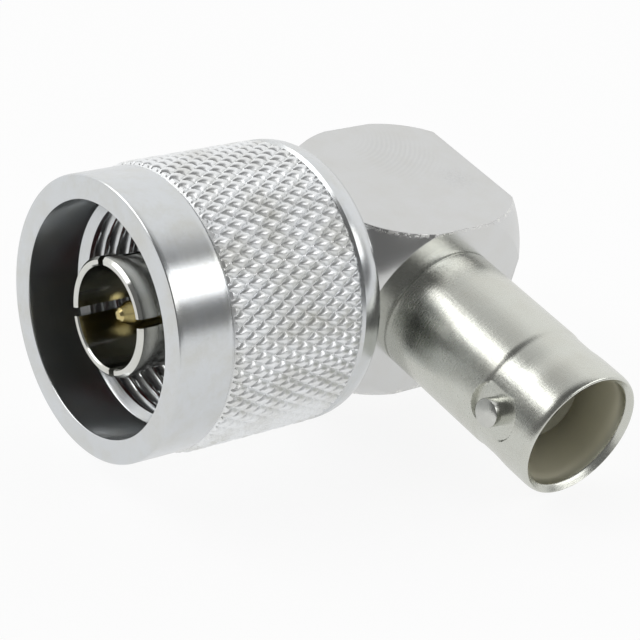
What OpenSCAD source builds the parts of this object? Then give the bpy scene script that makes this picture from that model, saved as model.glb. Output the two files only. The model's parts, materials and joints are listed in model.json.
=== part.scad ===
// Right-angle coaxial adapter: a screw-on plug with a knurled coupling nut on one
// arm and a bayonet jack on the other, joined by a rounded elbow with milled flats.
// The part lies as it rests on a table: on the nut's shoulder, the rim of the
// elbow's lower flat and the jack's rim. Until rest() turns it, the plug's axis is X (its
// mouth faces -X), the jack's axis is -Y, and the origin is the middle of the
// plug's outer contact face. "st" names a station along X or along the jack.

/* [Coupling nut] */
// Diameter of the nut's smooth front band
nut_d = 19.5; // [19.1:0.1:19.9]
// Length of the nut
nut_len = 16.9; // [16.4:0.1:18]
// How far the nut stands out in front of the outer contact
nut_lead = 0.95; // [0.3:0.05:1.4]
// Length of the smooth band from the nut's front to the knurl
band_len = 4.4; // [3.6:0.1:5]
// Width of the shallow neck between the band and the knurl
neck_w = 0.8; // [0.4:0.1:1.2]
// Diameter over the points of the knurl
knurl_d = 20; // [19.9:0.1:20.6]
// Depth of the knurl
knurl_depth = 0.36; // [0.2:0.02:0.4]
// Length of the knurled stretch
knurl_len = 10.4; // [9:0.1:11]
// Diamonds in one ring of the knurl
knurl_count = 60; // [40:1:72]
// Rows of diamonds and of the staggered ones between them
knurl_rows = 13; // [9:2:17]
// Diameter of the rounded rear end of the nut
nut_rear_d = 18; // [16:0.2:18.6]
// Diameter of the nut's open front bore
mouth_d = 16.1; // [16:0.05:16.6]
// Depth of the front bore
mouth_depth = 4; // [3:0.1:4.5]
// Length of the cone that leads into the thread
lead_in = 0.95; // [0.4:0.05:1.2]
// Major diameter of the coupling thread (5/8 inch)
thread_major_d = 15.9; // [15.8:0.05:16]
// Minor diameter of the coupling thread
thread_minor_d = 14.9; // [14.8:0.05:15.2]
// Pitch of the coupling thread (24 turns an inch)
thread_pitch = 1.058; // [0.8:0.002:1.1]
// Number of full thread ridges
thread_turns = 5; // [3:1:5]
// Length of the lip behind the thread that carries the retaining ring
nut_lip_len = 2.8; // [2.6:0.1:3]

/* [Plug] */
// Diameter of the slotted outer contact
contact_d = 8.2; // [7.8:0.05:8.4]
// Bore of the outer contact
contact_bore = 7; // [6.6:0.05:7.2]
// Length of the thicker rim at the contact's front
contact_rim = 1.35; // [0.8:0.05:2]
// Length of the slots
slot_len = 6.2; // [4:0.1:6.4]
// Width of the slots
slot_w = 0.6; // [0.3:0.05:0.9]
// Angle of the first slot, from straight up towards the jack
slot_turn = 62; // [0:1:90]
// Distance from the contact's front to the seal
seal_st = 9.3; // [9.1:0.1:9.6]
// Thickness of the flat seal
seal_t = 1.3; // [1:0.1:1.4]
// Outside diameter of the seal
seal_d = 14.2; // [13.6:0.1:14.4]
// Diameter of the ferrule's flange behind the seal
flange_d = 14.6; // [14:0.1:14.7]
// Thickness of that flange
flange_t = 2; // [1.6:0.1:2]
// Diameter of the ferrule's shank, on which the nut turns
shank_d = 12; // [11.6:0.1:12.2]
// Diameter of the ferrule's hub inside the seal
hub_d = 11; // [10.6:0.1:11.2]
// Diameter of the bore that holds the insulator
core_d = 9.5; // [9:0.1:9.8]

/* [Retaining ring] */
// Width of the split ring along the axis
ring_w = 0.8; // [0.6:0.05:0.9]
// Height of the ring's section
ring_h = 1.15; // [1:0.05:1.2]
// Opening of the ring in degrees
ring_gap = 24; // [10:1:40]
// End play of the coupling nut
float = 0.4; // [0.2:0.05:0.45]

/* [Elbow] */
// Distance from the outer contact's front to the jack's axis
reach = 23.85; // [23.6:0.05:25]
// Diameter of the rounded blank that the elbow is milled from, turned about the jack's axis
blank_d = 20.9; // [20.4:0.1:21.4]
// Radius of the blank's rounded shoulders
blank_round = 6.9; // [6.5:0.1:7.3]
// Diameter of the flat disc left on each end of the blank
blank_face_d = 14.4; // [14:0.1:14.8]
// Width across the milled flats
flats = 13.8; // [13.4:0.1:14]
// Distance from the jack's axis to the rear flat
rear_out = 6.5; // [6.2:0.1:6.8]
// Depth to which the ferrule is pressed in
press_len = 2.5; // [2:0.1:2.5]
// Diameter of the ferrule's pressed end
press_d = 10.8; // [10.4:0.1:11.2]
// Diameter of the cap pressed into the rear
cap_d = 10.4; // [10:0.1:10.8]
// Thickness of the cap
cap_t = 1; // [0.6:0.1:1.4]

/* [Jack] */
// Distance from the plug's axis to the jack's mouth
jack_len = 22.1; // [21.6:0.05:23]
// Diameter of the jack's shell
shell_d = 9.7; // [9.6:0.02:9.8]
// Diameter of the shallow waist around the bayonet studs
waist_d = 9.4; // [9.2:0.05:9.6]
// Bore of the shell
shell_bore = 8.12; // [8:0.02:8.2]
// Depth from the mouth to the jack's inner shoulder
shoulder_depth = 8.4; // [8:0.1:8.6]
// Depth of the relief just inside the mouth
lip_depth = 0.9; // [0.4:0.1:1.4]
// Diameter of that relief
lip_bore = 8.5; // [8.3:0.05:8.7]
// Distance from the mouth to the middle of the studs
stud_in = 4.8; // [4.4:0.1:5.4]
// Diameter of the studs
stud_d = 2; // [1.8:0.05:2.1]
// Width over both studs
stud_span = 11; // [10.8:0.05:11.2]
// Diameter of the flat milled around each stud
spot_d = 3.3; // [2.8:0.1:3.6]

/* [Line] */
// Diameter of the plug's pin at its tip end
pin_d = 1.65; // [1.6:0.01:1.7]
// Distance from the outer contact's front back to the tip of the pin
pin_back = 0.9; // [0.2:0.1:1.2]
// Distance from the outer contact's front to the pin's shoulder
pin_shoulder = 5.2; // [4.8:0.1:5.6]
// Diameter of the inner conductor behind the shoulder
rod_d = 3; // [2.8:0.05:3.1]
// Outside diameter of the jack's insulator
jack_core_d = 6.6; // [6.2:0.1:6.8]
// Diameter of the insulator's nose in the jack
nose_d = 4.8; // [4.6:0.05:4.9]
// Distance from the mouth back to the nose
nose_in = 3.25; // [3:0.05:3.6]
// Outside diameter of the jack's socket contact
socket_d = 2.1; // [2:0.05:2.2]
// Bore of the socket contact
socket_bore = 1.36; // [1.3:0.02:1.4]

/* [Hidden] */
$fn = 96;

nickel = "#d4d3ce";
gold = "#c9a348";
fluoropolymer = "#efece4";
silicone = "#8d1f1c";
spring_steel = "#a7a9ac";

cut = 1;             // how far a cutter runs past the face that it opens
run_gap = 0.08;      // running clearance on a radius
edge = 0.2;          // broken edges
arc_steps = 8;       // flats in a rounded profile

// Nut stations along X
nut_st = -nut_lead;
nut_end = nut_st + nut_len;
knurl_st = nut_st + band_len;
knurl_end = knurl_st + knurl_len;
mouth_end = nut_st + mouth_depth;
thread_st = mouth_end + lead_in;
thread_end = thread_st + thread_turns * thread_pitch;
lip_st = nut_end - nut_lip_len;
lip_bore_r = shank_d / 2 + run_gap;
root_r = knurl_d / 2 - knurl_depth;
neck_r = root_r + 0.03;
core_r = root_r - 0.5;   // solid under the knurl
buried = 0.25;           // how far the knurl's ends run into the nut

// Plug stations along X
flange_st = seal_st + seal_t;
flange_end = flange_st + flange_t;
hub_st = seal_st - 0.3;
ring_st = lip_st + 1.05;
ring_inner_r = shank_d / 2 - ring_h / 2 + 0.05;
ring_outer_r = ring_inner_r + ring_h;

// Elbow
half = flats / 2;
elbow_st = reach - half;
rear_st = reach + rear_out;
cap_st = rear_st - cap_t;
press_end = elbow_st + press_len;
splice_end = reach + rod_d / 2 + 0.6;
socket_rod_r = 0.9;

// Jack stations, measured from the plug's axis
shoulder_st = jack_len - shoulder_depth;
stud_st = jack_len - stud_in;
nose_st = jack_len - nose_in;
socket_st = nose_st - 0.3;
shell_st = core_d / 2 + 0.15;
shell_press_d = 8.6;
lip_roll = 0.65;     // length of the rounded lip
lip_r = shell_d / 2 - 0.22;
land_st = jack_len - lip_roll;
waist_st = stud_st - 0.55;
waist_end = stud_st + 1.1;

// Profiles that touch the table, as [radius, station] points.
shoulder_r = knurl_d / 2 - 0.05;
nut_back = rounded(nut_rear_d / 2, knurl_end + 0.25, shoulder_r, nut_end);
jack_front = rounded(lip_r, land_st, shell_d / 2, jack_len);

// The blank's section: its shoulders are arcs about round_r from the jack's axis
// and round_st to either side of the plug's. blank_y is half its length at a radius.
round_r = blank_d / 2 - blank_round;
round_st = half - sqrt(pow(blank_round, 2) - pow(blank_face_d / 2 - round_r, 2));
function blank_y(r) = min(half, round_st + sqrt(max(0, pow(blank_round, 2) - pow(r - round_r, 2))));
lower_rim = [for (i = [0:80]) let (x = rear_out * i / 80) [x, blank_y(sqrt(x * x + half * half))]];

// How it rests. Three places touch the table: the nut's shoulder, the rim of the
// elbow's lower flat and the front of the jack. rise is the tangent of the plug's
// upward tilt and sag the sine of the jack's droop. Each pass puts the elbow and
// the jack at the depth of the nut, and repeating it settles both.
function lowest(points, a, b) = let (deep = max([for (p = points) a * p[0] + b * p[1]]))
    [for (p = points) if (a * p[0] + b * p[1] >= deep) p][0];
function settle(rise, sag, n) = n == 0 ? [rise, sag] : let (
    heel = lowest(nut_back, 1, rise),
    foot = lowest(lower_rim, rise, sag),
    toe = lowest(jack_front, sqrt(1 + rise * rise - sag * sag), sag),
    up = (heel[0] - half * sqrt(1 - sag * sag) - foot[1] * sag) / (reach + foot[0] - heel[1]),
    down = (heel[0] - (reach - heel[1]) * up - toe[0] * sqrt(1 + up * up - sag * sag)) / toe[1])
    settle(up, down, n - 1);
lean = settle(0.14, 0.17, 40);
tilt = atan(lean[0]);
droop = asin(lean[1]);

// Turns the part from its own axes to the way it lies.
module rest() {
    rotate([droop, tilt, 0]) children();
}

// Revolves a profile of [radius, station] points about the plug's axis.
module turn_plug(profile) {
    rotate([0, 90, 0]) rotate_extrude() polygon(profile);
}

// Revolves a profile of [radius, station] points about the jack's axis.
module turn_jack(profile) {
    translate([reach, 0, 0]) rotate([90, 0, 0]) rotate_extrude() polygon(profile);
}

// A cylinder along the plug's axis between two stations.
module rod_plug(d, st, end) {
    translate([st, 0, 0]) rotate([0, 90, 0]) cylinder(d = d, h = end - st);
}

// A cylinder along the jack's axis between two stations.
module rod_jack(d, st, end) {
    translate([reach, -st, 0]) rotate([90, 0, 0]) cylinder(d = d, h = end - st);
}

// Points of a quarter ellipse from [r1, s0] to [r0, s1], bulging outwards.
function rounded(r0, s0, r1, s1) =
    [for (i = [0:arc_steps]) let (a = 90 * i / arc_steps)
        [r0 + (r1 - r0) * cos(a), s0 + (s1 - s0) * sin(a)]];

// The diamond knurl: a tube whose outside is a grid of rings and columns. Points
// with an even sum of ring and column stand up as the tips of pyramids, and the
// others lie in the crossing grooves. Both end rings dive under the nut's skin.
module knurl_band(st, end, bore_r) {
    n = 2 * knurl_count;
    rows = knurl_rows;
    step = (end - st) / rows;
    function is_tip(k, m) = (k + m) % 2 == 0;
    function ring_r(k, m) = k == 0 || k == rows ? root_r - 0.22
        : is_tip(k, m) ? knurl_d / 2 : root_r;
    function at(k, m) = k * n + (m + n) % n;
    outer = [for (k = [0:rows]) for (m = [0:n - 1]) let (r = ring_r(k, m), a = 360 * (m + 0.3) / n)
        [st + k * step, r * sin(a), r * cos(a)]];
    inner = [for (x = [st, end]) for (m = [0:n - 1]) let (a = 360 * (m + 0.3) / n)
        [x, bore_r * sin(a), bore_r * cos(a)]];
    first = len(outer);
    function in_at(k, m) = first + k * n + (m + n) % n;
    sides = [for (k = [0:rows]) for (m = [0:n - 1]) if (is_tip(k, m)) each concat(
        k == rows ? [] : [[at(k, m), at(k, m + 1), at(k + 1, m)], [at(k, m), at(k + 1, m), at(k, m - 1)]],
        k == 0 ? [] : [[at(k, m), at(k - 1, m), at(k, m + 1)], [at(k, m), at(k, m - 1), at(k - 1, m)]])];
    front = [for (m = [0:n - 1]) [at(0, m), in_at(0, m), in_at(0, m + 1), at(0, m + 1)]];
    back = [for (m = [0:n - 1]) [at(rows, m), at(rows, m + 1), in_at(1, m + 1), in_at(1, m)]];
    lining = [for (m = [0:n - 1]) [in_at(0, m), in_at(1, m), in_at(1, m + 1), in_at(0, m + 1)]];
    polyhedron(concat(outer, inner), concat(sides, front, back, lining));
}

// Inside of the nut from the front to the rear: bore, cone, ridges of the thread
// in its true section, relief and the ring's groove.
function nut_inside() = let (
    major = thread_major_d / 2, minor = thread_minor_d / 2,
    flank = (major - minor) * tan(30), crest = thread_pitch / 4,
    g0 = ring_st - 0.05, g1 = ring_st + ring_w + 0.05, groove = ring_outer_r + 0.05)
    concat(
        [[mouth_d / 2 + edge, nut_st], [mouth_d / 2, nut_st + edge], [mouth_d / 2, mouth_end]],
        [for (i = [0:thread_turns - 1]) let (x = thread_st + i * thread_pitch)
            each [[minor, x], [minor, x + crest], [major, x + crest + flank],
                [major, x + thread_pitch - flank]]],
        [[major, lip_st], [lip_bore_r, lip_st], [lip_bore_r, g0], [groove, g0],
            [groove, g1], [lip_bore_r, g1], [lip_bore_r, nut_end]]);

module coupling_nut() {
    inside = nut_inside();
    outside = concat(
        [[nut_d / 2 - edge, nut_st], [nut_d / 2, nut_st + edge], [nut_d / 2, knurl_st - neck_w],
            [neck_r, knurl_st - neck_w + 0.1], [neck_r, knurl_st], [core_r, knurl_st],
            [core_r, knurl_end], [neck_r, knurl_end]],
        nut_back,
        [[nut_rear_d / 2 - edge, nut_end]]);
    color(nickel) rest() union() {
        turn_plug(concat(outside, [for (i = [len(inside) - 1:-1:0]) inside[i]]));
        knurl_band(knurl_st - buried, knurl_end + buried, core_r - 0.4);
    }
}

module retaining_ring() {
    color(spring_steel) rest() translate([ring_st, 0, 0]) rotate([0, 90, 0])
        rotate([0, 0, ring_gap / 2]) rotate_extrude(angle = 360 - ring_gap)
            translate([ring_inner_r, 0]) square([ring_h, ring_w]);
}

module seal() {
    r = 0.25;
    inner = hub_d / 2;
    outer = seal_d / 2;
    color(silicone) rest() turn_plug([[inner, seal_st + r], [inner + r, seal_st],
        [outer - r, seal_st], [outer, seal_st + r], [outer, flange_st - r],
        [outer - r, flange_st], [inner, flange_st]]);
}

module plug_ferrule() {
    groove_r = ring_inner_r - 0.05;
    g0 = ring_st - float - 0.05;
    g1 = ring_st + ring_w + 0.05;
    color(nickel) rest() turn_plug([[core_d / 2, hub_st], [hub_d / 2 - edge, hub_st],
        [hub_d / 2, hub_st + edge], [hub_d / 2, flange_st], [flange_d / 2, flange_st],
        [flange_d / 2, flange_end], [shank_d / 2, flange_end], [shank_d / 2, g0],
        [groove_r, g0], [groove_r, g1], [shank_d / 2, g1], [shank_d / 2, elbow_st],
        [press_d / 2, elbow_st], [press_d / 2, press_end], [core_d / 2, press_end]]);
}

module outer_contact() {
    r = contact_d / 2;
    thin = r - 0.2;
    color(nickel) rest() difference() {
        turn_plug([[contact_bore / 2 + 0.1, 0], [r - edge, 0], [r, edge], [r, contact_rim],
            [thin, contact_rim + 0.2], [thin, slot_len + 0.3], [r, slot_len + 0.5],
            [r, hub_st], [core_d / 2, hub_st], [core_d / 2, flange_end],
            [contact_bore / 2, flange_end], [contact_bore / 2, 0.1]]);
        for (i = [0:3]) rotate([slot_turn + 90 * i, 0, 0])
            translate([-cut, -slot_w / 2, 0]) cube([slot_len + cut, slot_w, contact_d]);
    }
}

module plug_pin() {
    r = pin_d / 2;
    tip = 0.95;
    color(gold) rest() difference() {
        turn_plug([[0, pin_back], [0.28, pin_back + 0.05], [0.48, pin_back + 0.22],
            [r, pin_back + tip], [r, pin_shoulder], [rod_d / 2 - 0.1, pin_shoulder],
            [rod_d / 2, pin_shoulder + 0.1], [rod_d / 2, splice_end], [0, splice_end]]);
        rod_jack(2 * socket_rod_r, -rod_d, rod_d);
    }
}

module plug_bead() {
    color(fluoropolymer) rest() difference() {
        rod_plug(contact_bore, hub_st + 0.6, flange_end);
        rod_plug(rod_d, hub_st, flange_end + cut);
    }
}

module elbow_insulator() {
    color(fluoropolymer) rest() difference() {
        rod_plug(core_d, flange_end, splice_end);
        rod_plug(rod_d, flange_end - cut, splice_end + cut);
        rod_jack(2 * socket_rod_r, 0, core_d);
    }
}

module rear_insulator() {
    color(fluoropolymer) rest() rod_plug(core_d - 0.1, splice_end, cap_st);
}

module rear_cap() {
    color(nickel) rest() turn_plug([[0, cap_st], [cap_d / 2, cap_st],
        [cap_d / 2, rear_st - edge], [cap_d / 2 - edge, rear_st], [0, rear_st]]);
}

// Half section of the blank, from the jack's axis outwards.
module blank_section() {
    long = round_st + blank_round;
    intersection() {
        union() {
            for (side = [-1, 1]) translate([round_r, side * round_st]) circle(r = blank_round);
            translate([0, -round_st]) square([blank_d / 2, 2 * round_st]);
            translate([0, -long]) square([round_r, 2 * long]);
        }
        translate([0, -half]) square([blank_d, flats]);
    }
}

module elbow_body() {
    color(nickel) rest() difference() {
        intersection() {
            translate([reach, 0, 0]) rotate([90, 0, 0]) rotate_extrude() blank_section();
            translate([elbow_st, -half, -half]) cube([rear_st - elbow_st, flats, flats]);
        }
        rod_plug(core_d, elbow_st - cut, rear_st + cut);
        rod_plug(press_d, elbow_st - cut, press_end);
        rod_plug(cap_d, cap_st, rear_st + cut);
        rod_jack(shell_press_d, 0, half + cut);
    }
}

module jack_shell() {
    r = shell_d / 2;
    waist = waist_d / 2;
    mouth = jack_len - lip_depth;
    flat = sqrt(pow(waist, 2) - pow(spot_d / 2, 2));
    outside = concat(
        [[shell_press_d / 2, shell_st], [shell_press_d / 2, half], [r - 0.15, half],
            [r - 0.15, half + 0.15], [r, half + 0.15], [r, waist_st], [waist, waist_st + 0.12],
            [waist, waist_end], [r, waist_end + 1.1]],
        jack_front);
    inside = [[lip_bore / 2 + 0.05, jack_len], [lip_bore / 2, jack_len - 0.1],
        [lip_bore / 2, mouth], [shell_bore / 2, mouth], [shell_bore / 2, shoulder_st],
        [jack_core_d / 2, shoulder_st], [jack_core_d / 2, shell_st]];
    color(nickel) rest() difference() {
        turn_jack(concat(outside, inside));
        for (side = [-1, 1]) translate([reach, -stud_st, 0]) rotate([0, 90 * side, 0]) {
            cylinder(d = stud_d, h = shell_d);
            translate([0, 0, flat]) cylinder(d = spot_d, h = shell_d);
        }
    }
}

module bayonet_studs() {
    base = shell_bore / 2 + 0.1;
    color(nickel) rest() for (side = [-1, 1])
        translate([reach, -stud_st, 0]) rotate([0, 90 * side, 0]) {
            translate([0, 0, base]) cylinder(d = stud_d, h = stud_span / 2 - 0.15 - base);
            translate([0, 0, stud_span / 2 - 0.15])
                cylinder(d1 = stud_d, d2 = stud_d - 0.3, h = 0.15);
        }
}

module jack_insulator() {
    color(fluoropolymer) rest() difference() {
        turn_jack([[0, shell_st], [jack_core_d / 2, shell_st], [jack_core_d / 2, shoulder_st],
            [nose_d / 2, shoulder_st], [nose_d / 2, nose_st - 0.15],
            [nose_d / 2 - 0.15, nose_st], [0, nose_st]]);
        rod_jack(socket_d, shell_st - cut, shoulder_st);
        rod_jack(socket_d + 0.16, shoulder_st - 0.01, nose_st + cut);
    }
}

module jack_socket() {
    bore_st = socket_st - 5;
    color(gold) rest() difference() {
        union() {
            rod_jack(2 * socket_rod_r, -0.9, shell_st + 0.01);
            rod_jack(socket_d, shell_st, socket_st);
        }
        rod_jack(socket_bore, bore_st, socket_st + cut);
        for (i = [0:1]) translate([reach, -bore_st - 0.8, 0]) rotate([90, 0, 0])
            rotate([0, 0, 45 + 90 * i]) translate([-socket_d, -0.11, 0])
                cube([2 * socket_d, 0.22, socket_st]);
    }
}

elbow_body();
rear_cap();
plug_ferrule();
outer_contact();
coupling_nut();
retaining_ring();
seal();
plug_pin();
plug_bead();
elbow_insulator();
rear_insulator();
jack_shell();
bayonet_studs();
jack_insulator();
jack_socket();
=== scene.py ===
"""Looks of a right-angle coaxial adapter: bright nickel plate over turned and
milled brass, a diamond-knurled coupling nut, a gold pin and its insulators.

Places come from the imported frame. Lengths below are in millimetres along the
adapter's own axes: X runs back from the plug's mouth, the jack points to -Y and
the upper milled flat faces +Z. own() turns such points into the frame's metres.
A station is a length along the plug's or the jack's axis.
"""

import json

import bpy
import numpy as np
from mathutils import Matrix, Vector


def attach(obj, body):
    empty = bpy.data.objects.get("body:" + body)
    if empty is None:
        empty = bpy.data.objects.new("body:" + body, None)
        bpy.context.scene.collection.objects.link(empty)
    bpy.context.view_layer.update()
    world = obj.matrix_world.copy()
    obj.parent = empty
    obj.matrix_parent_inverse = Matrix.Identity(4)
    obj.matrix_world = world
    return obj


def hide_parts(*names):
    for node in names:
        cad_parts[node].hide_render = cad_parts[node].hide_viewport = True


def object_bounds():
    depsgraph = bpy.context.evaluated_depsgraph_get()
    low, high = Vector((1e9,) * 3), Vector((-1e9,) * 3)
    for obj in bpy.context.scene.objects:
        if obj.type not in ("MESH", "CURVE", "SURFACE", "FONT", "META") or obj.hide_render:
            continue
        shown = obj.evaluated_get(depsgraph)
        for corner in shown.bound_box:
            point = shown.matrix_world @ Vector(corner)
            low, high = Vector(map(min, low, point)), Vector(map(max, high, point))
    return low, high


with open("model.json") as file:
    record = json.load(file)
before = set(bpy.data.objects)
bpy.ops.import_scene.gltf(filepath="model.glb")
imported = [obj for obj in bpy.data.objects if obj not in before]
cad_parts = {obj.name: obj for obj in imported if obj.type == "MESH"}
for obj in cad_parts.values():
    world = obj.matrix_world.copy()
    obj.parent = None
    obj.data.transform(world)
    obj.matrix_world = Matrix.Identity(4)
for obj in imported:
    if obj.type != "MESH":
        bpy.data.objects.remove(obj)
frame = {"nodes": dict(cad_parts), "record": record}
cad_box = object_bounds()
scene = bpy.context.scene
nodes = frame["nodes"]
mounts = {m["name"]: m for m in frame["record"]["mounts"]}

MM = 0.001
TAU = 2 * np.pi

# ---------------------------------------------------------------- the adapter's axes
ORIGIN = np.array(mounts["plug_outer_contact"]["pos_m"], float)
AX = -np.array(mounts["plug_outer_contact"]["axis"], float)
AY = -np.array(mounts["jack_shell_land"]["axis"], float)
AZ = np.cross(AX, AY)
AY = np.cross(AZ, AX)
AXES = np.stack([AX, AY, AZ])
REACH = 23.85          # plug mouth to the jack's axis
JACK = 22.1            # plug axis to the jack's mouth


def own(points):
    """Points in the adapter's own millimetres, as metres in the frame."""
    return ORIGIN + (np.asarray(points, float) * MM) @ AXES


# ---------------------------------------------------------------- profiles and grids
def corner_round(corners, steps=4):
    """A closed profile out of corners, each a radius, a station and a cut. A
    corner p is cut back along both edges, to s and e, which are joined by the
    curve (1-t)^2 s + 2t(1-t) p + t^2 e. A cut of 0 keeps its corner, and no cut
    takes more than 0.45 of an edge."""
    places, cuts = corners[:, :2], corners[:, 2]
    t = np.linspace(0, 1, steps)[:, None]
    before, after = np.roll(places, 1, 0), np.roll(places, -1, 0)
    out = []
    for p, a, b, cut in zip(places, before, after, cuts):
        if cut == 0:
            out.append(p[None])
            continue
        s, e = (p + (q - p) * min(cut / np.hypot(*(q - p)), 0.45) for q in (a, b))
        out.append((1 - t) ** 2 * s + 2 * t * (1 - t) * p + t ** 2 * e)
    return np.concatenate(out)


def fine_profile(corners, step):
    """A closed profile with points added evenly along each edge, no further
    apart than the step, which may differ from edge to edge."""
    ends = np.roll(corners, -1, 0)
    counts = np.maximum(1, np.ceil(np.hypot(*(ends - corners).T) / step)).astype(int)
    return np.concatenate([a + (b - a) * (np.arange(n) / n)[:, None]
                           for a, b, n in zip(corners, ends, counts)])


def quarter(radius, station, high, long, steps):
    """Uncut corners on a quarter ellipse about a radius and station, from
    straight out to straight back."""
    t = np.linspace(0, TAU / 4, steps)
    return np.stack([radius + high * np.cos(t), station + long * np.sin(t), np.zeros(steps)], -1)


def turned_grid(profile, columns):
    """Radius, station and angle of a profile of radii and stations, carried
    round its axis in even steps."""
    angle = TAU * np.arange(columns) / columns
    radius, angle = np.meshgrid(profile[:, 0], angle, indexing="ij")
    return radius, np.repeat(profile[:, 1:], columns, 1), angle


def plug_round(radius, station, angle):
    """Cylinder coordinates about the plug's axis. The angle runs from straight
    up towards the jack's side."""
    return np.stack([station, -radius * np.sin(angle), radius * np.cos(angle)], -1)


def jack_round(radius, station, angle):
    """Cylinder coordinates about the jack's axis, the station measured from the
    plug's axis."""
    return np.stack([REACH + radius * np.sin(angle), -station, radius * np.cos(angle)], -1)


def ring_faces(rows, columns):
    """Quads of a grid that closes on itself both ways: a turned ring."""
    i, j = np.meshgrid(np.arange(rows), np.arange(columns), indexing="ij")
    ni, nj = (i + 1) % rows, (j + 1) % columns
    here, there = i * columns, ni * columns
    return np.stack([here + j, here + nj, there + nj, there + j], -1).reshape(-1, 4)


def capped_faces(rows, columns):
    """Triangles of a grid that closes round and ends in a pole at each end. The
    poles are the last two points."""
    i, j = np.meshgrid(np.arange(rows - 1), np.arange(columns), indexing="ij")
    nj = (j + 1) % columns
    here, there = i * columns, (i + 1) * columns
    a, b, c, d = here + j, here + nj, there + nj, there + j
    j, nj, end = j[0], nj[0], (rows - 1) * columns
    first, last = (np.full(columns, rows * columns + k) for k in (0, 1))
    return np.concatenate([
        np.stack([a, b, c], -1).reshape(-1, 3), np.stack([a, c, d], -1).reshape(-1, 3),
        np.stack([nj, j, first], -1), np.stack([end + j, end + nj, last], -1)])


# ---------------------------------------------------------------- meshes
def outward(points, faces):
    """The faces, all turned round if the volume that they enclose, a sum of
    a . (b x c) + a . (c x d) over their corners, comes out negative."""
    a, b, c, d = (points[faces[:, k]] for k in (0, 1, 2, -1))
    volume = (a * (np.cross(b, c) + np.cross(c, d))).sum()
    return faces if volume > 0 else faces[:, ::-1]


def make_piece(name, points, faces, body, material, slot, smooth):
    """A mesh object from own-millimetre points and index faces, shaded smooth
    except where neighbouring faces meet at more than the given angle."""
    mesh = bpy.data.meshes.new(name)
    mesh.from_pydata(own(points).tolist(), [], outward(points, faces).tolist())
    mesh.validate()
    obj = bpy.data.objects.new(name, mesh)
    scene.collection.objects.link(obj)
    mesh.shade_smooth()
    mesh.set_sharp_from_angle(angle=np.radians(smooth))
    mesh.materials.append(material)
    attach(obj, body)
    return obj


# ---------------------------------------------------------------- shader helpers
class Value:
    """A socket with arithmetic: each operator adds its Math node."""

    def __init__(self, tree, socket):
        self.tree, self.socket = tree, socket

    def _math(self, operation, *values, clamp=False):
        node = self.tree.nodes.new("ShaderNodeMath")
        node.operation, node.use_clamp = operation, clamp
        for socket, value in zip(node.inputs, values):
            if isinstance(value, Value):
                self.tree.links.new(value.socket, socket)
            else:
                socket.default_value = value
        return Value(self.tree, node.outputs[0])

    def __add__(self, other):
        return self._math("ADD", self, other)

    def __radd__(self, other):
        return self._math("ADD", other, self)

    def __sub__(self, other):
        return self._math("SUBTRACT", self, other)

    def __rsub__(self, other):
        return self._math("SUBTRACT", other, self)

    def __mul__(self, other):
        return self._math("MULTIPLY", self, other)

    def __rmul__(self, other):
        return self._math("MULTIPLY", other, self)

    def __truediv__(self, other):
        return self._math("DIVIDE", self, other)

    def clamped(self):
        return self._math("ADD", self, 0.0, clamp=True)

    def root(self):
        return self._math("SQRT", self)

    def size(self):
        return self._math("ABSOLUTE", self)

    def sine(self):
        return self._math("SINE", self)

    def angle(self, other):
        return self._math("ARCTAN2", self, other)

    def between(self, low, high):
        """0 below low, 1 above high, a straight ramp between."""
        return ((self - low) / (high - low)).clamped()


class Nodes:
    """A node tree with the few ways in which this script adds to it."""

    def __init__(self, tree):
        self.tree = tree

    def add(self, kind, settings=None, out=0, **inputs):
        """A node of a type, its settings first, then its inputs by name, or by
        number as i0, i1 and so on. Gives the output of the given number."""
        node = self.tree.nodes.new(kind)
        for key, value in (settings or {}).items():
            setattr(node, key, value)
        for key, value in inputs.items():
            numbered = key[1:].isdigit()
            socket = node.inputs[int(key[1:]) if numbered else key.replace("_", " ")]
            if isinstance(value, Value):
                self.tree.links.new(value.socket, socket)
            else:
                socket.default_value = value
        return Value(self.tree, node.outputs[out])

    def dot(self, vector, axis):
        return self.add("ShaderNodeVectorMath", {"operation": "DOT_PRODUCT"}, out=1,
                        i0=vector, i1=tuple(float(v) for v in axis))

    def vector(self, x, y, z):
        return self.add("ShaderNodeCombineXYZ", i0=x, i1=y, i2=z)

    def noise(self, vector, scale, detail=2.0, rough=0.5):
        return self.add("ShaderNodeTexNoise", Vector=vector, Scale=scale, Detail=detail,
                        Roughness=rough)

    def blend(self, factor, low, high):
        """Mixes two colours, given or linked, by a factor."""
        low, high = (v if isinstance(v, Value) else (*v, 1.0) for v in (low, high))
        return self.add("ShaderNodeMix", {"data_type": "RGBA"}, out=2, i0=factor, i6=low, i7=high)

    def rays(self, *kinds):
        """1 for rays of the given kinds, 0 for all others."""
        outs = {"camera": 0, "glossy": 3, "transmission": 6}
        found = [self.add("ShaderNodeLightPath", out=outs[kind]) for kind in kinds]
        return sum(found[1:], found[0]).clamped()


class Finish(Nodes):
    """One material: its tree and its shader."""

    def __init__(self, name, **sockets):
        self.material = bpy.data.materials.new(name)
        self.material.use_nodes = True
        super().__init__(self.material.node_tree)
        self.shader = next(n for n in self.tree.nodes if n.type == "BSDF_PRINCIPLED")
        for key, value in sockets.items():
            self.shader.inputs[key.replace("_", " ")].default_value = value

    def feed(self, name, value):
        self.tree.links.new(value.socket, self.shader.inputs[name])

    def along(self, axis, origin):
        """Millimetres along one of the adapter's axes from an own point, out of
        the Object coordinates, which are metres from the frame's origin."""
        place = self.add("ShaderNodeTexCoord", out=3)
        away = self.add("ShaderNodeVectorMath", {"operation": "SUBTRACT"}, i0=place,
                        i1=tuple(own(origin)))
        return self.dot(away, np.asarray(axis) / MM)

    def bump(self, height, strength, distance, **normal):
        return self.add("ShaderNodeBump", Strength=strength, Distance=distance, Height=height,
                        **normal)


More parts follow.
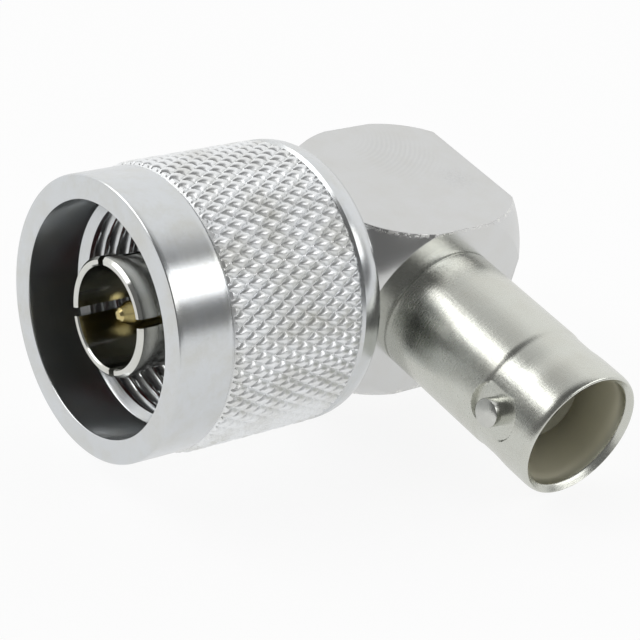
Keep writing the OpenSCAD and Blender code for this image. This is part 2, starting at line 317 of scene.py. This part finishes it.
def shade(colour, factor):
    """A colour times one factor, or times one for each channel."""
    return tuple(float(c * k) for c, k in zip(colour, np.broadcast_to(factor, 3)))


# ---------------------------------------------------------------- finishes
def nickel_turned(name, kind, base, rough, marks=0.5, drawn=0.0):
    """Nickel plate over turned brass: rings along the profile from noise that
    is stretched round the axis and felt as deep as marks says, cloudy warmth
    where the plating thins, and a soft speckle. Where drawn is over zero,
    streaks run along the tube outside, and its bore is duller, rougher and
    painted lighter, painted light for the light that reaches into the bore."""
    f = Finish(name, Metallic=1.0, IOR=1.5)
    if kind == "plug":
        origin, ahead, side = (0, 0, 0), AX, -AY
    else:
        origin, ahead, side = (REACH, 0, 0), -AY, AX
    s, a, b = (f.along(axis, origin) for axis in (ahead, side, AZ))
    r, angle = (a * a + b * b).root(), a.angle(b)
    ring = f.noise(f.vector(s * 9.0, r * 9.0, angle * 0.6), 1.0, 4.0, 0.7)
    fine = f.noise(f.vector(s * 38.0, r * 38.0, angle * 1.7), 1.0, 2.0, 0.6)
    cloud = f.noise(f.vector(s, a, b), 0.42, 3.0, 0.6)
    speck = f.noise(f.vector(s, a, b), 5.5, 3.0, 0.6)
    warm = cloud.between(0.42, 0.75) * 0.5 + speck.between(0.5, 0.8) * 0.25
    tone = f.blend(warm, base, (0.58, 0.57, 0.51))
    rough = rough + (ring - 0.5) * 0.10 + (speck - 0.5) * 0.08 + (cloud - 0.5) * 0.06
    height = ring * 0.6 + fine * 0.4
    if drawn:
        bore = 1.0 - r.between(4.15, 4.24)
        # painted light: the bore's colour is lifted to a pale olive in place of light reaching into
        # it
        tone = f.blend(bore, tone, (0.80, 0.78, 0.66))
        rough = rough + bore * 0.35
        streak = f.noise(f.vector(s * 0.9, a * 3.4, b * 3.4), 1.0, 4.0, 0.75)
        height = height * (1.0 - bore * 0.7) + streak * r.between(4.3, 4.6) * drawn
    f.feed("Base Color", tone)
    f.feed("Roughness", rough.clamped())
    f.feed("Normal", f.bump(height, 0.10 * marks, 0.00006))
    return f.material


FLAT = 6.9                                     # height of the milled flats over the axes
ARC_CENTRE, ARC_PITCH = (-2.35, 7.5), 0.35     # the cutter's arcs on the upper flat
ARC_PATCH, SMEAR = (1.4, 2.6), (3.9, -1.3)     # where they show best, and a dull corner


def nickel_milled(name, base, rough):
    """Nickel plate over the milled elbow. On the flats the cutter left nested
    arcs, a sine of the distance to their centre, clearest in one patch; a smear
    dulls a corner; the edges are slightly broken, with burrs on the jack's side
    that are bumped and rougher and painted lighter, a painted glint. X and Y
    are measured from the jack's axis."""
    f = Finish(name, Metallic=1.0, IOR=1.5)
    x, y, z = (f.along(axis, (REACH, 0, 0)) for axis in (AX, AY, AZ))
    spot = f.vector(x, y, z)

    def distance(point):
        return ((x - point[0]) * (x - point[0]) + (y - point[1]) * (y - point[1])).root()

    grit = f.noise(spot, 7.0, 4.0, 0.65)
    cloud = f.noise(spot, 0.5, 3.0, 0.6)
    flat = z.size().between(FLAT - 0.05, FLAT - 0.01)
    wobble = f.noise(spot, 0.35, 2.0, 0.5) * 0.25
    arcs = (((distance(ARC_CENTRE) + wobble) * (TAU / ARC_PITCH)).sine() * 0.5 + 0.5) * flat
    patch = 1.0 - distance(ARC_PATCH).between(1.6, 3.6)
    smear = (1.0 - distance(SMEAR).between(0.3, 1.8)) * flat * grit.between(0.40, 0.62)
    rim = z.size().between(FLAT - 0.3, FLAT - 0.12) * (1.0 - flat) * (0.0 - y).between(0.0, 3.0)
    burr_and_glint = rim * f.noise(spot, 2.4, 3.0, 0.7).between(0.50, 0.58)
    tone = f.blend(cloud.between(0.4, 0.8) * 0.4, base, shade(base, (0.93, 0.91, 0.86)))
    tone = f.blend(smear * 0.35, tone, shade(base, 0.72))
    # painted glint: the burrs on the jack's side are painted near white
    tone = f.blend(burr_and_glint * 0.8, tone, (0.90, 0.90, 0.87))
    tone = f.blend(arcs * (patch * 0.22 + 0.02), tone, shade(base, 0.8))
    rough = rough + flat * 0.16 + burr_and_glint * 0.2 + (grit - 0.5) * 0.1 + (cloud - 0.5) * 0.05
    height = arcs * (patch * 0.9 + 0.1) * 0.9 + grit * (0.12 + flat * 0.25) + burr_and_glint * 1.5
    edge = f.add("ShaderNodeBevel", {"samples": 6}, Radius=0.00009)
    f.feed("Base Color", tone)
    f.feed("Roughness", rough.clamped())
    f.feed("Normal", f.bump(height, 0.22, 0.00003, Normal=edge))
    return f.material


def plain_metal(name, base, rough):
    """Small bright metal parts: faint clouding and a fine satin grain."""
    f = Finish(name, Metallic=1.0, IOR=1.5)
    spot = f.vector(*(f.along(axis, (0, 0, 0)) for axis in (AX, AY, AZ)))
    cloud = f.noise(spot, 0.9, 3.0, 0.6)
    grain = f.noise(spot, 12.0, 3.0, 0.6)
    f.feed("Base Color", f.blend(cloud.between(0.35, 0.8) * 0.6, base, shade(base, 0.78)))
    f.feed("Roughness", (rough + (grain - 0.5) * 0.12 + (cloud - 0.5) * 0.08).clamped())
    f.feed("Normal", f.bump(grain, 0.08, 0.00005))
    return f.material


def soft_plastic(name, base, dark, rough, glow=0.0):
    """Insulator or rubber: a body colour with cloudy darker places, a fine
    grain, and light that soaks in where glow is over zero."""
    f = Finish(name, IOR=1.4, Subsurface_Weight=glow, Subsurface_Radius=(0.6, 0.5, 0.4),
               Subsurface_Scale=0.0008)
    spot = f.vector(*(f.along(axis, (0, 0, 0)) for axis in (AX, AY, AZ)))
    cloud = f.noise(spot, 0.7, 3.0, 0.6)
    grain = f.noise(spot, 9.0, 3.0, 0.6)
    f.feed("Base Color", f.blend(cloud.between(0.3, 0.8), base, dark))
    f.feed("Roughness", (rough + (grain - 0.5) * 0.15).clamped())
    f.feed("Normal", f.bump(grain, 0.15, 0.00006))
    return f.material


nut_finish = nickel_turned("nickel on the nut", "plug", (0.655, 0.675, 0.69), 0.23)
# painted light: the knurl's nickel is painted far lighter than the nut's, for the bright tops of
# its diamonds
knurl_painted_light_finish = nickel_turned("nickel on the knurl, painted lighter", "plug", (0.90, 0.915, 0.925), 0.40)
ferrule_finish = nickel_turned("nickel on the ferrule", "plug", (0.63, 0.63, 0.60), 0.2)
contact_finish = nickel_turned("nickel on the outer contact", "plug", (0.66, 0.665, 0.63), 0.14)
shell_finish = nickel_turned("nickel on the jack", "jack", (0.63, 0.64, 0.59), 0.27, 0.9, drawn=2.2)
stud_finish = plain_metal("nickel on the studs", (0.64, 0.645, 0.61), 0.22)
body_finish = nickel_milled("nickel on the elbow", (0.66, 0.665, 0.66), 0.21)
cap_finish = plain_metal("nickel on the cap", (0.74, 0.72, 0.68), 0.25)
# painted shade: the gold is painted darker than gold, for the pins lying in shade deep inside the
# contacts
gold_painted_shade_finish = plain_metal("gold plate", (0.60, 0.50, 0.24), 0.2)
spring_finish = plain_metal("spring steel", (0.52, 0.52, 0.52), 0.3)
core_finish = soft_plastic("fluoropolymer", (0.86, 0.85, 0.80), (0.78, 0.76, 0.68), 0.42, 0.25)
# painted shade: the jack's insulator, white like the others, is painted dark for the shade inside
# the jack's mouth
jack_core_painted_shade = soft_plastic("fluoropolymer in the jack, painted shade", (0.24, 0.235, 0.18),
                                (0.18, 0.175, 0.13), 0.4)
seal_finish = soft_plastic("silicone", (0.30, 0.02, 0.018), (0.20, 0.012, 0.012), 0.5)

FINISHES = {
    "elbow_body": body_finish, "rear_cap": cap_finish, "plug_ferrule": ferrule_finish,
    "outer_contact": contact_finish, "coupling_nut": nut_finish,
    "retaining_ring": spring_finish, "seal": seal_finish, "plug_pin": gold_painted_shade_finish,
    "plug_bead": core_finish, "elbow_insulator": core_finish,
    "rear_insulator": core_finish, "jack_shell": shell_finish,
    "bayonet_studs": stud_finish, "jack_insulator": jack_core_painted_shade,
    "jack_socket": gold_painted_shade_finish}
for node, material in FINISHES.items():
    slots = nodes[node].data.materials
    slots.clear()
    slots.append(material)


# ---------------------------------------------------------------- the coupling nut
NUT_FRONT, NUT_BACK = -0.95, 15.95
BAND, BAND_END = 9.75, 3.2                 # radius and last station of the plain band
GROOVE = 9.63                              # radius of the groove behind the band
MOUTH, SEAT = 8.05, 3.05                   # counterbore's radius and depth
CREST, ROOT, RELIEF = 7.45, 7.95, 9.6      # thread's radii, and where it ends
PITCH, HALF_CREST, FLANK = 1.058, 0.10, 0.29           # the last two are shares of a pitch
THREAD_START, CREST_STATION = 3.75, 4.0    # first station, and a crest's at angle 0
LIP, BORE = 13.15, 6.08                    # rear lip's front, and its bore on the ferrule
RING, RING_FRONT, RING_BACK = 6.675, 14.15, 15.05      # groove of the retaining ring
BEVEL, BEVEL_DROP = 14.1, 0.95             # where the rear bevel starts, and its height
KNURL_FRONT, KNURL_BACK = 3.45, 13.85
KNURL_TIP, KNURL_ROOT, KNURL_CORE = 9.98, 9.73, 9.14
SLEEVE_BORE = 8.8
DIAMONDS, KNURL_ROWS, KNURL_BURIED = 60, 13, 0.25


def knurled_sleeve(per_diamond=8):
    """Two families of grooves cross on a tube. Columns of the grid lean with
    one family and the quads' diagonals with the other, so every groove lies on
    the mesh's edges. Across a diamond the height is the product of two arches,
    1 - (1 - a)^3 with a the distance to the nearest groove of a family. Both
    ends slope down into the nut."""
    start, end = KNURL_FRONT - KNURL_BURIED, KNURL_BACK + KNURL_BURIED
    columns, rows = DIAMONDS * per_diamond, KNURL_ROWS * per_diamond
    row, column = np.meshgrid(np.arange(rows + 1), np.arange(columns), indexing="ij")
    families = column / per_diamond, (column + row) / per_diamond
    arch = [1 - (1 - 2 * np.abs(w - np.round(w))) ** 3 for w in families]
    station = start + (end - start) * row / rows
    slope = KNURL_ROOT - 0.30 + np.minimum(station - start, end - station) * 1.4
    radius = np.minimum(KNURL_ROOT + (KNURL_TIP - KNURL_ROOT) * arch[0] * arch[1], slope)
    angle = TAU * (column + row / 2) / columns
    outer = plug_round(radius, station, angle)
    lining = plug_round(np.full((2, columns), SLEEVE_BORE), station[[-1, 0]], angle[[-1, 0]])
    points = np.concatenate([outer, lining]).reshape(-1, 3)
    a, b, c, d = ring_faces(rows + 3, columns).T
    return points, np.concatenate([np.stack([a, b, d], 1), np.stack([b, c, d], 1)])


def nut_turned(columns=288, thread_rows=110):
    """The nut without its knurl, turned from one closed profile with rounded
    corners. Between the cone and the relief the radius also follows the angle:
    from the bore of the crests it opens into a V groove that climbs as a helix."""
    outside = [[MOUTH, NUT_FRONT, 0.12], [BAND, NUT_FRONT, 0.18], [BAND, BAND_END, 0.03],
               [GROOVE, BAND_END + 0.04, 0], [GROOVE, BAND_END + 0.13, 0],
               [KNURL_ROOT - 0.01, KNURL_FRONT + 0.01, 0], [KNURL_CORE, KNURL_FRONT + 0.15, 0],
               [KNURL_CORE, KNURL_BACK, 0], [KNURL_ROOT - 0.06, KNURL_BACK, 0.05]]
    bevel = quarter(9.0, BEVEL, BEVEL_DROP, NUT_BACK - BEVEL, 9)
    inside = [[BORE, NUT_BACK, 0.1], [BORE, RING_BACK, 0], [RING, RING_BACK, 0],
              [RING, RING_FRONT, 0], [BORE, RING_FRONT, 0], [BORE, LIP, 0.1], [ROOT, LIP, 0.1],
              [ROOT, RELIEF, 0], [CREST, RELIEF - 0.2, 0], [CREST, SEAT + 0.45, 0.03],
              [MOUTH, SEAT, 0.06]]
    profile = fine_profile(corner_round(np.concatenate([outside, bevel, inside])), 0.3)
    radius, station = profile.T
    threaded = (np.abs(radius - CREST) < 0.02) & (station > SEAT + 0.4) & (station < RELIEF - 0.15)
    first, last = np.flatnonzero(threaded)[[0, -1]]
    crests = np.stack([np.full(thread_rows, CREST),
                       np.linspace(station[first], station[last], thread_rows)], -1)
    profile = np.concatenate([profile[:first], crests, profile[last + 1:]])
    threaded = np.abs(profile[:, :1] - CREST) < 1e-6
    radius, station, angle = turned_grid(profile, columns)
    turn = (station - CREST_STATION) / PITCH - angle / TAU
    groove = np.clip((np.abs(turn - np.round(turn)) - HALF_CREST) / FLANK, 0, 1)
    fade = np.clip((station - THREAD_START) / 0.3, 0, 1)
    radius = radius + np.where(threaded, (ROOT - CREST) * groove * fade, 0)
    return plug_round(radius, station, angle).reshape(-1, 3), ring_faces(len(profile), columns)


# ---------------------------------------------------------------- the jack's shell and studs
LAND, WAIST, SHELL_BORE = 4.85, 4.76, 4.06       # the shell's radii
STUB, STUB_BORE, STUB_END, BOSS = 4.3, 3.3, 4.9, 6.9   # the end pressed into the boss
BORE_FLOOR, SKIN = 13.7, 4.45              # the mouth's floor; only the outside passes SKIN
STUD_STATION, STUD_TURN, STUD_TOP = 18.15, np.radians(5.3), 5.5
STUD_RADIUS, STUD_FOOT = 1.0, 4.16
SPOT_RADIUS, SPOT_FLAT, SPOT_WALL, SPOT_RISE = 2.1, 4.48, 0.1, 0.6


def stud_way(side):
    """Unit vector of a stud: the near one points forwards and a little up."""
    return side * np.array([np.cos(STUD_TURN), 0, -np.sin(STUD_TURN)])


def jack_turned(columns=400):
    """The shell, turned from one closed profile with rounded corners. Round
    each stud, points inside a circle are pushed in along the stud to a flat,
    with a steep wall just inside the circle."""
    outside = [[STUB_BORE, STUB_END, 0], [STUB, STUB_END, 0], [STUB, BOSS, 0], [WAIST, BOSS, 0],
               [WAIST, BOSS + 0.07, 0.03], [LAND, BOSS + 0.13, 0.03], [LAND, 15.6, 0],
               [LAND, 16.5, 0.15], [WAIST + 0.01, 16.85, 0.15], [WAIST, 18.4, 0.4],
               [LAND, 19.5, 0.4]]
    lip = quarter(LAND - 0.22, JACK - 0.65, 0.22, 0.65, 7)
    inside = [[4.6, JACK, 0], [4.26, JACK - 0.36, 0.08], [4.1, JACK - 1.3, 0.3],
              [SHELL_BORE, BORE_FLOOR, 0.1], [STUB_BORE, BORE_FLOOR, 0.1]]
    profile = corner_round(np.concatenate([outside, lip, inside]))
    by_studs = (np.minimum(profile, np.roll(profile, -1, 0)) > (SKIN, 15.5)).all(1)
    profile = fine_profile(profile, np.where(by_studs, 0.06, 0.4))
    radius, station, angle = turned_grid(profile, columns)
    points = jack_round(radius, station, angle)
    for side in (-1, 1):
        way = stud_way(side)
        away = points - (REACH, -STUD_STATION, 0)
        high = away @ way
        inside_by = SPOT_RADIUS - np.sqrt(np.maximum((away ** 2).sum(-1) - high ** 2, 0))
        floor = SPOT_FLAT + np.clip(1 - inside_by / SPOT_WALL, 0, 1) * SPOT_RISE
        cut = (inside_by > 0) & (radius > SKIN) & (high > 0)
        points = points - np.where(cut, np.maximum(high - floor, 0), 0)[..., None] * way
    return points.reshape(-1, 3), ring_faces(len(profile), columns)


def studs_turned(columns=64):
    """Both studs: rods with a small cone at the free end, each from a profile
    turned about the stud's own line and closed by a pole at each end."""
    profile = np.array([[STUD_RADIUS - 0.1, STUD_TOP], [STUD_RADIUS - 0.015, STUD_TOP - 0.05],
                        [STUD_RADIUS, STUD_TOP - 0.12], [STUD_RADIUS, 4.3],
                        [STUD_RADIUS - 0.02, STUD_FOOT]])
    angle = TAU * np.arange(columns) / columns
    foot = np.array([REACH, -STUD_STATION, 0])
    across = np.array([0, 1.0, 0])
    points, faces = [], []
    for side in (-1, 1):
        way = stud_way(side)
        ring = np.cos(angle)[:, None] * across + np.sin(angle)[:, None] * np.cross(way, across)
        rows = foot + profile[:, None, 1:] * way + profile[:, None, :1] * ring
        poles = foot + np.array([[STUD_TOP], [STUD_FOOT]]) * way
        faces.append(capped_faces(len(profile), columns) + sum(len(p) for p in points))
        points.append(np.concatenate([rows.reshape(-1, 3), poles]))
    return np.concatenate(points), np.concatenate(faces)


knurl = make_piece("nut_knurl", *knurled_sleeve(), "nut", knurl_painted_light_finish, "nickel_nut", smooth=28)
nut = make_piece("nut_turned", *nut_turned(), "nut", nut_finish, "nickel_nut", smooth=32)
jack = make_piece("jack_turned", *jack_turned(), "elbow", shell_finish, "nickel", smooth=32)
studs = make_piece("studs_turned", *studs_turned(), "elbow", stud_finish, "nickel", smooth=32)
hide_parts("coupling_nut")
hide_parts("coupling_nut")
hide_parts("jack_shell")
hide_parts("bayonet_studs")

# ---------------------------------------------------------------- stage, light, camera
floor_z = cad_box[0].z
centre = (cad_box[0] + cad_box[1]) / 2
TO_CAMERA = (-0.530, -0.848, 0.0)      # level way to the camera's side of the room


def floor_plane(half=1.5):
    """A pale matt floor. Seen directly or in the metal it glows towards white
    and keeps part of the adapter's shadow."""
    f = Finish("pale floor", Base_Color=(0.86, 0.86, 0.86, 1), Roughness=1.0,
               Specular_IOR_Level=0.0)
    glow = f.add("ShaderNodeEmission", Color=(1, 1, 1, 1), Strength=1.04)
    seen = (f.rays("camera") * 0.86 + f.rays("glossy", "transmission") * 0.75).clamped()
    matt = Value(f.tree, f.shader.outputs[0])
    mixed = f.add("ShaderNodeMixShader", i0=seen, i1=matt, i2=glow)
    out = next(n for n in f.tree.nodes if n.type == "OUTPUT_MATERIAL")
    f.tree.links.new(mixed.socket, out.inputs[0])
    mesh = bpy.data.meshes.new("floor")
    mesh.from_pydata([(-half, -half, 0), (half, -half, 0), (half, half, 0), (-half, half, 0)],
                     [], [(0, 1, 2, 3)])
    mesh.materials.append(f.material)
    obj = bpy.data.objects.new("floor", mesh)
    obj.location = (centre.x, centre.y, floor_z)
    scene.collection.objects.link(obj)


def studio_world():
    """A white sweep behind the adapter that falls off to a dim ceiling and to
    the darker room on the camera's side. Seen directly it is plain white."""
    world = bpy.data.worlds.new("studio")
    scene.world = world
    world.use_nodes = True
    n = Nodes(world.node_tree)
    way = n.add("ShaderNodeTexCoord", out=0)
    sweep = 1.0 - n.dot(way, TO_CAMERA).between(-0.32, -0.02)
    ceiling = n.dot(way, (0, 0, 1)).between(0.76, 0.93)
    dim, ceiling_loss = 0.17, 0.38
    level = (dim + sweep * (1 - dim)) * (1.0 - ceiling * ceiling_loss)
    level = level + (1.0 - level) * n.rays("camera")
    back = next(node for node in n.tree.nodes if node.type == "BACKGROUND")
    n.tree.links.new(n.blend(level, (0, 0, 0), (1, 1, 1)).socket, back.inputs["Color"])


def soft_lamp(name, azimuth, elevation, distance, width, height, glow, roll=0.0):
    """A soft box of the given brightness seen from the adapter at an azimuth and
    elevation in degrees. The power is the brightness times pi times the area."""
    data = bpy.data.lights.new(name, "AREA")
    data.shape, data.size, data.size_y = "RECTANGLE", width, height
    data.energy = glow * np.pi * width * height
    obj = bpy.data.objects.new(name, data)
    a, e = np.radians((azimuth, elevation))
    way = Vector((np.cos(a) * np.cos(e), np.sin(a) * np.cos(e), np.sin(e)))
    aim = (-way).to_track_quat("-Z", "Y").to_matrix()
    obj.matrix_world = Matrix.Translation(centre + way * distance) @ (
        aim @ Matrix.Rotation(np.radians(roll), 3, "Z")).to_4x4()
    scene.collection.objects.link(obj)


floor_plane()
studio_world()
soft_lamp("box on the jack's side", azimuth=-55, elevation=33, distance=0.40,
          width=0.40, height=0.15, glow=2.2, roll=-14)
soft_lamp("box on the nut's side", azimuth=139, elevation=50, distance=0.40,
          width=0.30, height=0.15, glow=2.4)

# the camera's place and its right and down, along the adapter's own axes
CAMERA_PLACE = (-78.641, -96.294, 83.500)
CAMERA_RIGHT = np.array([0.77784, -0.58672, 0.22524])
CAMERA_DOWN = np.array([-0.18366, -0.55496, -0.81135])
camera_data = bpy.data.cameras.new("camera")
camera = bpy.data.objects.new("camera", camera_data)
scene.collection.objects.link(camera)
scene.camera = camera
camera_data.sensor_width = 36
camera_data.lens = 127.04
camera_data.clip_start = 0.005
ahead = np.cross(CAMERA_RIGHT, CAMERA_DOWN)
ahead /= np.linalg.norm(ahead)
down = np.cross(ahead, CAMERA_RIGHT)
turn = np.stack([CAMERA_RIGHT @ AXES, -down @ AXES, -ahead @ AXES], 1)
place = own(CAMERA_PLACE)
camera.matrix_world = Matrix([[*turn[i], place[i]] for i in range(3)] + [[0, 0, 0, 1]])

scene.view_settings.view_transform = "Standard"
